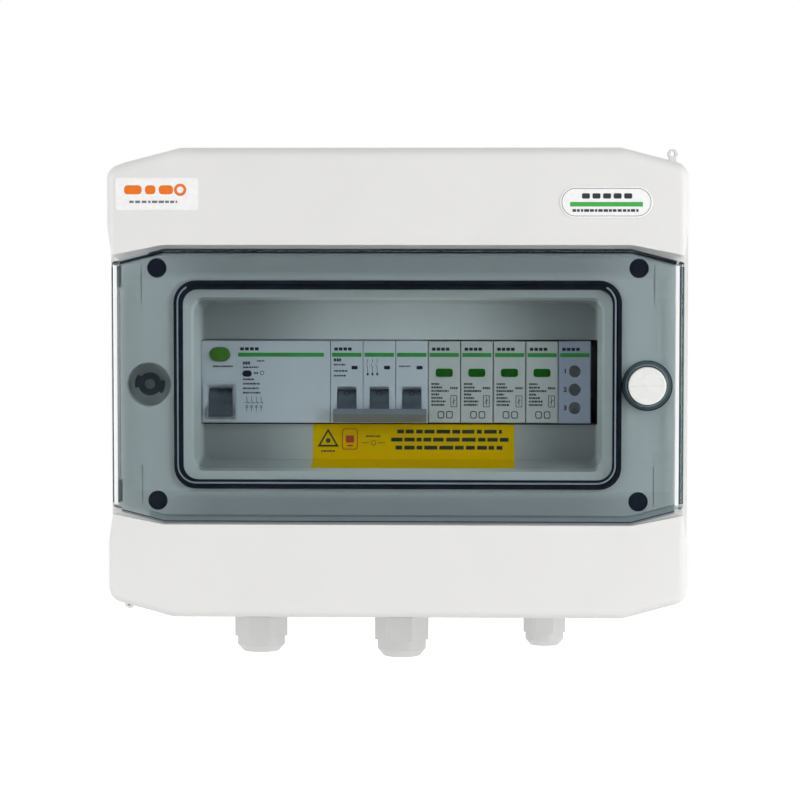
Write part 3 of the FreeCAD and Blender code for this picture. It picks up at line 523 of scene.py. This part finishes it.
def mcb_details():
    """The first pole has text, the second a circuit drawing, the third one line."""
    rng = random.Random(23)
    dark, green, panes = bmesh.new(), bmesh.new(), bmesh.new()
    for k in range(3):
        pole = "mcb_pole_%d" % (k + 1)
        low, high = box_mm(pole)
        module_head(dark, green, low.x, high.x, face_y, 4 if k == 0 else 0)
        pane_x = middle_x(pole)
        print_area(panes, round_rect(pane_x + 2.6, pane_x + 5.9, 6.9, 8.8, 0.4, 3), face_y, 0.12)
        text_x = low.x + 1.7
        if k == 0:
            greek(dark, text_x, low.x + 5.6, 12.0, 1.6, face_y, rng, TITLE_WORD, TITLE_GAP)
            for right, z in ((8.0, 9.4), (9.2, 6.0), (8.6, 3.4)):
                greek(dark, text_x, low.x + right, z, 0.9, face_y, rng)
        if k == 1:
            for j in range(3):
                x = low.x + 2.4 + 2.6 * j
                stroke(dark, x, 12.6, x, 10.4, FINE, face_y)
                stroke(dark, x - 0.8, 9.9, x, 7.6, FINE, face_y)
                stroke(dark, x, 7.6, x, 5.2, FINE, face_y)
                bar(dark, x - 0.5, x + 0.5, 3.6, 5.0, face_y, 0.1)
        if k == 2:
            greek(dark, text_x, low.x + 8.0, 8.6, 0.8, face_y, rng)
    finish_piece(dark, "mcb_print", "enclosure", ink["dark"])
    finish_piece(green, "mcb_stripes", "enclosure", ink["green"])
    finish_piece(panes, "mcb_windows", "enclosure", materials["dark_plastic"])


mcb_details()


def lever_marks(name, body, centres, pivot):
    """A dark ring on the round root of each lever, which shows while the lever is off."""
    bm = bmesh.new()
    lean, root_r = math.radians(48), 6.21
    for x in centres:
        before = set(bm.verts)
        band(bm, circle(0, 0, 1.7, 24), circle(0, 0, 1.25, 24), 0.02, 0.06)
        turn = Matrix.Rotation(-lean, 4, "X")
        place = Matrix.Translation((x, pivot.y - root_r * math.cos(lean), pivot.z + root_r * math.sin(lean)))
        fresh = [v for v in bm.verts if v not in before]
        bmesh.ops.transform(bm, matrix=place @ turn, verts=fresh)
    finish_piece(bm, name, body, ink["dark"])


joints = {joint["name"]: joint for joint in frame["joints"]}
rcd_pivot = Vector(joints["rcd_switch"]["pos_m"]) / MM
mcb_pivot = Vector(joints["mcb_switch"]["pos_m"]) / MM
pole_centres = [middle_x("mcb_pole_%d" % k) for k in (1, 2, 3)]
lever_marks("rcd_lever_mark", "rcd_lever", [rcd_pivot.x], rcd_pivot)
lever_marks("mcb_lever_marks", "mcb_levers", pole_centres, mcb_pivot)


# --- Surge cartridges ------------------------------------------------------------------------

def cartridge_details(k):
    """Print, stripe and green window of one cartridge, which slide out with it."""
    rng = random.Random(40 + k)
    body = "cartridge_%d" % k
    node = "spd_" + body
    low, high = box_mm(node)
    dark, green, pane = bmesh.new(), bmesh.new(), bmesh.new()
    module_head(dark, green, low.x, high.x, face_y, 4)
    x0 = low.x + 1.6
    first_row, row_step = -1.0, 1.9
    for j, length in enumerate((4.6, 5.8, 9.4, 4.2, 6.0, 7.8, 7.4)):
        greek(dark, x0, x0 + length, first_row - row_step * j, 1.05, face_y, rng, (0.5, 1.3), 0.24)
    greek(dark, x0 + 10.2, x0 + 14.2, -3.2, 1.15, face_y, rng, (0.6, 1.0), 0.25)
    print_frame(dark, round_rect(x0 + 10.4, x0 + 14.0, -13.6, -7.2, 0.3, 2),
                round_rect(x0 + 10.75, x0 + 13.65, -13.25, -7.55, 0.2, 2), face_y)
    stroke(dark, x0 + 12.2, -8.2, x0 + 12.2, -12.6, 0.35, face_y)
    stroke(dark, x0 + 11.4, -11.2, x0 + 13.0, -9.6, 0.35, face_y)
    for left in (x0 + 3.4, x0 + 8.0):
        print_frame(dark, round_rect(left, left + 3.6, -19.8, -15.8, 1.0, 4),
                    round_rect(left + 0.5, left + 3.1, -19.3, -16.3, 0.6, 4), face_y)
    finish_piece(dark, body + "_print", body, ink["dark"])
    finish_piece(green, body + "_stripe", body, ink["green"])
    pane_x, pane_half, pane_sunk = middle_x(node), 4.6, 0.48
    outline = round_rect(pane_x - pane_half, pane_x + pane_half, 2.9, 7.3, 1.4)
    prism(pane, outline, face_y + pane_sunk, 0.3)
    finish_piece(pane, body + "_window", body, ink["window"])


for number in (1, 2, 3, 4):
    cartridge_details(number)


# --- Terminal block --------------------------------------------------------------------------

DIGIT_WEIGHT = 0.13         # how much the numerals are thickened


def digit_mesh(bm, text, x, z, size, y):
    """Adds a numeral, laid flat against the face, as raised print."""
    curve = bpy.data.curves.new("digit", "FONT")
    curve.body = text
    curve.size = size
    curve.offset = DIGIT_WEIGHT
    curve.align_x = "CENTER"
    curve.align_y = "CENTER"
    curve.extrude = (LIFT + SINK) / 2
    holder = bpy.data.objects.new("digit", curve)
    scene.collection.objects.link(holder)
    bpy.context.view_layer.update()
    mesh = bpy.data.meshes.new_from_object(holder)
    mesh.transform(Matrix.Translation((x, y - LIFT / 2, z)) @ Matrix.Rotation(math.radians(90), 4, "X"))
    bm.from_mesh(mesh)
    bpy.data.objects.remove(holder)
    bpy.data.curves.remove(curve)
    bpy.data.meshes.remove(mesh)


def block_details():
    low, high = box_mm("terminal_block")
    screws_low, screws_high = box_mm("terminal_block_screws")
    dark, green = bmesh.new(), bmesh.new()
    module_head(dark, green, low.x, high.x, face_y, 4)
    middle, pitch = (screws_low.z + screws_high.z) / 2, 10.0
    for k in range(3):
        digit_mesh(dark, str(k + 1), low.x + 3.6, middle + pitch * (1 - k), 3.4, face_y)
    finish_piece(dark, "block_print", "enclosure", ink["dark"])
    finish_piece(green, "block_stripe", "enclosure", ink["green"])


block_details()


# --- Recess ----------------------------------------------------------------------------------

def cutout_shade():
    """Painted shade: dark strips round the left side and the foot of the cut-out that the modules stand in, where
    the gap lies in shadow.
    """
    well_y = box_mm("notice_label")[1].y
    left, reach, half = rcd_low.x - 0.2, -rcd_low.x + 1.6, 23.3
    foot, thick = -half + 0.8, 0.06
    bm = bmesh.new()
    prism(bm, [(-reach, -half), (left, -half), (left, half), (-reach, half)], well_y, thick)
    prism(bm, [(left, -half), (reach, -half), (reach, foot), (left, foot)], well_y, thick)
    finish_piece(bm, "cutout_shade_strips", "enclosure", materials["dark_plastic"])


cutout_shade()


# --- Door edges ------------------------------------------------------------------------------

# A plane in the gap behind the door's flanges, just in front of the cover.
gap_y = box_mm("door_gasket")[0].y + 1.65


def door_rib_line():
    """Pale line on the tip of the door's sealing rib, a painted highlight: it shows only at the sides and along
    the bottom, where the light catches the rib.
    """
    low, high = box_mm("door_gasket")
    half_w, half_h = high.x - 2.3, high.z - 2.3
    x, z, corner_r, width = -0.6, 0.5, 10.2, 0.85
    outer = round_rect(x - half_w, x + half_w, z - half_h, z + half_h, corner_r, 12)
    inner = round_rect(x - half_w + width, x + half_w - width, z - half_h + width, z + half_h - width,
                       corner_r - width, 12)
    # From within the top left corner, down and along the bottom, to within the top right corner.
    shown = list(range(17, 52)) + list(range(0, 9))
    bm = bmesh.new()
    band(bm, [outer[i] for i in shown], [inner[i] for i in shown], low.y - 0.18, 0.1, closed=False)
    finish_piece(bm, "door_rib_highlight_line", "door_leaf", ink["rib_highlight"])


def door_edge_lines():
    """Painted shade: a dark strip behind the flanges at the top and bottom of the door, sheets that dim the two
    bands between flange and seal, and a grey line in the pocket below the door."""
    low, high = box_mm("door")
    top, side = high.z, high.x
    corner_run, corner_drop = 28.0, 7.3
    turn, reach = side - corner_run, side - 4.5
    drop = corner_drop / corner_run * (reach - turn)

    def edge(z, s=1):
        """The door's upper (s=1) or lower edge, with its height moved to z."""
        return [(-reach, s * (z - drop)), (-turn, s * z), (turn, s * z), (reach, s * (z - drop))]

    shade_sheet_end = box_mm("door_gasket")[1].z + 0.8
    bm, shade_sheets = bmesh.new(), bmesh.new()
    for s, rim in ((1, top - 0.2), (-1, top + 0.9)):
        outer = edge(rim, s)
        inner = [(x, z - s * 2.3) for x, z in outer]
        band(bm, outer, inner, gap_y, 0.3, closed=False)
        # Sheets of painted shade over the bands between flange and seal.
        shade_sheet_start = [(x * 0.985, z - s * 0.8) for x, z in inner]
        band(shade_sheets, shade_sheet_start, [(x, s * shade_sheet_end) for x, z in shade_sheet_start], low.y + 3.3, 0.1, closed=False)
    # Painted shade: a dark strip where the flange ends look dark edge-on.
    finish_piece(bm, "door_flange_shade_strip", "door_leaf", materials["dark_plastic"])
    finish_piece(shade_sheets, "door_band_shade_sheets", "door_leaf", ink["film"])
    # Painted shade: a grey strip in the gap below the door.
    bm = bmesh.new()
    lip = edge(top + 1.0, -1)
    band(bm, [(x, z - 0.9) for x, z in lip], lip, gap_y + 0.3, 0.15, closed=False)
    finish_piece(bm, "pocket_shade_line", "enclosure", ink["pocket"])


def door_side_painted_highlights():
    """Painted highlights: pale lines where the side edges of the door catch the light. The left one runs onto the
    round edge, the right one lies on the flat."""
    low, high = box_mm("door")
    reach, edge_r, half = high.x, 2.4, 64.0
    lift, thick = 0.02, 0.06
    left = [(reach - edge_r + (edge_r + lift) * math.sin(a), low.y + edge_r - (edge_r + lift) * math.cos(a))
            for a in (math.radians(35.0 * k / 6) for k in range(6, -1, -1))]
    left.append((reach - 3.1, low.y - lift))
    right = [(reach - 2.7, low.y - lift), (reach - 4.6, low.y - lift)]
    bm = bmesh.new()
    for s, line in ((-1, left), (1, right)):
        rows = []
        for z in (-half, half):
            rows.append([bm.verts.new((s * x, y, z)) for x, y in line])
            rows.append([bm.verts.new((s * (x - lift), y + thick, z)) for x, y in line])
        front_low, back_low, front_high, back_high = rows
        for a, b in ((front_low, front_high), (back_low, back_high),
                     (front_low, back_low), (front_high, back_high)):
            for i in range(len(line) - 1):
                bm.faces.new((a[i], a[i + 1], b[i + 1], b[i]))
        for i in (0, -1):
            bm.faces.new((front_low[i], front_high[i], back_high[i], back_low[i]))
    finish_piece(bm, "door_side_painted_highlights", "door_leaf", ink["edge"])


def latch_collar_rings():
    """Grey face of the ring behind the knob, a band of painted shade from the cup on the collar round it, and the
    dark line of the collar.
    """
    low, high = box_mm("latch_retaining_ring")
    x, z = middle_x("latch_retaining_ring"), (low.z + high.z) / 2
    collar_y = gap_y + 0.3
    for name, body, outer, inner, y, depth, material in (
            ("retaining_ring_face", "latch", 11.5, 10.7, low.y + SINK, SINK + LIFT, ink["ring_face"]),
            # The collar band is painted shade of the cup behind it.
            ("collar_shade", "door_leaf", 13.1, 11.6, collar_y, 0.25, ink["collar"]),
            ("collar_line", "door_leaf", 13.5, 13.1, collar_y, 0.2, materials["dark_plastic"])):
        bm = bmesh.new()
        band(bm, circle(x, z, outer, 64), circle(x, z, inner, 64), y, depth)
        finish_piece(bm, name, body, material)


door_rib_line()
door_edge_lines()
door_side_painted_highlights()
latch_collar_rings()


# --- Badge, nameplate and notice -------------------------------------------------------------

def badge_details():
    low = box_mm("badge")[0]
    y = low.y
    orange, grey = bmesh.new(), bmesh.new()
    for offset, width in ((0, 9.4), (11.2, 5.6), (18.6, 7.6)):
        x = low.x + 4.6 + offset
        bar(orange, x, x + width, low.z + 8.4, low.z + 13.2, y, 1.6)
    ring(orange, low.x + 34.6, low.z + 10.8, 3.3, 1.5, y)
    finish_piece(orange, "badge_print_orange", "enclosure", ink["orange"])
    greek(grey, low.x + 7.4, low.x + 33.0, low.z + 4.4, 1.3, y, random.Random(5), (1.2, 3.0), 0.7)
    finish_piece(grey, "badge_print_grey", "enclosure", ink["grey"])


def nameplate_details():
    low, high = box_mm("nameplate")
    y, mid_x, mid_z = low.y, middle_x("nameplate"), (low.z + high.z) / 2
    rng = random.Random(9)
    dark, green = bmesh.new(), bmesh.new()
    for k in range(5):
        x = mid_x - 13.0 + 5.6 * k
        bar(dark, x, x + 4.2, mid_z + 1.9, mid_z + 4.7, y, 0.6)
    greek(dark, mid_x - 18.0, mid_x + 17.0, mid_z - 4.4, 1.4, y, rng, (1.2, 2.8), 0.5)
    end_r = (high.z - low.z) / 2
    outer, inner = [round_rect(low.x + inset, high.x - inset, low.z + inset, high.z - inset, r, 12)
                    for inset, r in ((0.9, end_r - 0.92), (1.15, end_r - 1.17))]
    print_frame(dark, outer, inner, y)
    finish_piece(dark, "nameplate_print", "enclosure", ink["dark"])
    bar(green, mid_x - 19.3, mid_x + 19.3, mid_z - 2.3, mid_z + 0.1, y)
    finish_piece(green, "nameplate_bar", "enclosure", ink["green"])


def notice_details():
    """A triangle with a dot, a red frame, a circuit-like line and three rows of blocks."""
    low, high = box_mm("notice_label")
    x0, thickness = low.x, 0.23
    y = high.y - thickness
    rng = random.Random(31)
    dark, red = bmesh.new(), bmesh.new()
    outer = [(x0 + 2.4, -35.6), (x0 + 14.0, -35.6), (x0 + 8.2, -25.6)]
    inner = [(x0 + 4.0, -34.6), (x0 + 12.4, -34.6), (x0 + 8.2, -27.4)]
    print_frame(dark, outer, inner, y)
    print_area(dark, circle(x0 + 8.2, -32.2, 1.3), y)
    greek(dark, x0 + 4.4, x0 + 12.0, -38.0, 1.0, y, rng, (1.0, 1.8), 0.4)
    print_frame(red, round_rect(x0 + 15.8, x0 + 24.4, -37.2, -25.6, 1.6, 5),
                round_rect(x0 + 16.3, x0 + 23.9, -36.7, -26.1, 1.2, 5), y)
    print_area(red, round_rect(x0 + 17.8, x0 + 22.4, -33.4, -29.4, 0.8, 4), y)
    bar(red, x0 + 18.4, x0 + 21.8, -35.4, -34.6, y, 0.2)
    line_z = -33.4
    stroke(dark, x0 + 26.6, line_z, x0 + 30.4, line_z, 0.3, y)
    ring(dark, x0 + 33.0, line_z, 1.4, 0.3, y)
    stroke(dark, x0 + 35.6, line_z, x0 + 39.4, line_z, 0.3, y)
    greek(dark, x0 + 29.0, x0 + 37.0, -29.8, 0.9, y, rng, (0.8, 1.4), 0.5)
    for k, (left, right) in enumerate(((46.0, 103.0), (42.6, 106.6), (45.0, 104.0))):
        greek(dark, x0 + left, x0 + right, -27.2 - 4.4 * k, 2.1, y, rng, (2.6, 7.6), 1.0)
    finish_piece(dark, "notice_print", "enclosure", ink["dark"])
    finish_piece(red, "notice_symbol", "enclosure", ink["red"])


badge_details()
nameplate_details()
notice_details()


# --- Floor and light -------------------------------------------------------------------------

def floor_stage():
    """A white sweep: partly self-lit, so that only soft contact shadows show on it."""
    mat, tree, shader = new_material("floor")
    tree.links.new(shades(tree, noise(tree, 3.0, 3.0), (0.92, 0.92, 0.92), (0.96, 0.96, 0.96)),
                   shader.inputs["Base Color"])
    shader.inputs["Roughness"].default_value = 0.9
    shader.inputs["Specular IOR Level"].default_value = 0.1
    shader.inputs["Emission Color"].default_value = (1, 1, 1, 1)
    rays = tree.nodes.new("ShaderNodeLightPath")
    spill, seen = 0.06, 0.76
    glow = remap(tree, rays.outputs["Is Camera Ray"], spill, seen, 0.0, 1.0)
    tree.links.new(glow, shader.inputs["Emission Strength"])
    bm = bmesh.new()
    bmesh.ops.create_circle(bm, cap_ends=True, segments=96, radius=1.2)
    mesh = bpy.data.meshes.new("floor")
    bm.to_mesh(mesh)
    bm.free()
    mesh.materials.append(mat)
    floor = bpy.data.objects.new("floor", mesh)
    drop = 0.12
    floor.location = (0, 0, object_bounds()[0][2] - drop)
    scene.collection.objects.link(floor)


def area_light(name, place, width, height, power):
    """Soft box that faces the middle of the object."""
    target = (0, -0.1, 0)
    data = bpy.data.lights.new(name, "AREA")
    data.shape = "RECTANGLE"
    data.size, data.size_y = width, height
    data.energy = power
    lamp = bpy.data.objects.new(name, data)
    lamp.location = place
    lamp.rotation_euler = (Vector(target) - Vector(place)).to_track_quat("-Z", "Y").to_euler()
    scene.collection.objects.link(lamp)


def sweep_world():
    """White behind the object, grey beside it, and dark straight in front, where its glossy door looks."""
    world = bpy.data.worlds.new("studio")
    world.use_nodes = True
    tree = world.node_tree
    direction = tree.nodes.new("ShaderNodeTexCoord")
    parts = tree.nodes.new("ShaderNodeSeparateXYZ")
    half = tree.nodes.new("ShaderNodeMath")
    half.operation = "MULTIPLY_ADD"
    half.inputs[1].default_value = 0.5
    half.inputs[2].default_value = 0.5
    tree.links.new(direction.outputs["Generated"], parts.inputs["Vector"])
    tree.links.new(parts.outputs["Y"], half.inputs[0])
    sweep = grey_ramp(tree, half.outputs["Value"],
                      ((0.0, 0.004), (0.06, 0.008), (0.15, 0.10), (0.47, 0.18), (0.56, 0.7)))
    rays = tree.nodes.new("ShaderNodeLightPath")
    mix = tree.nodes.new("ShaderNodeMix")
    mix.data_type = "RGBA"
    mix.inputs["B"].default_value = (1, 1, 1, 1)
    tree.links.new(rays.outputs["Is Camera Ray"], mix.inputs["Factor"])
    tree.links.new(sweep, mix.inputs["A"])
    tree.links.new(mix.outputs["Result"], tree.nodes["Background"].inputs["Color"])
    scene.world = world


def studio():
    scene.view_settings.view_transform = "Standard"
    sweep_world()
    area_light("left_box", (-1.15, -0.85, 0.3), 0.5, 1.2, 9.5)
    area_light("right_box", (1.15, -0.85, 0.3), 0.5, 1.2, 13.0)
    area_light("top_box", (0, -1.3, 1.5), 1.2, 0.5, 5.5)


floor_stage()
studio()
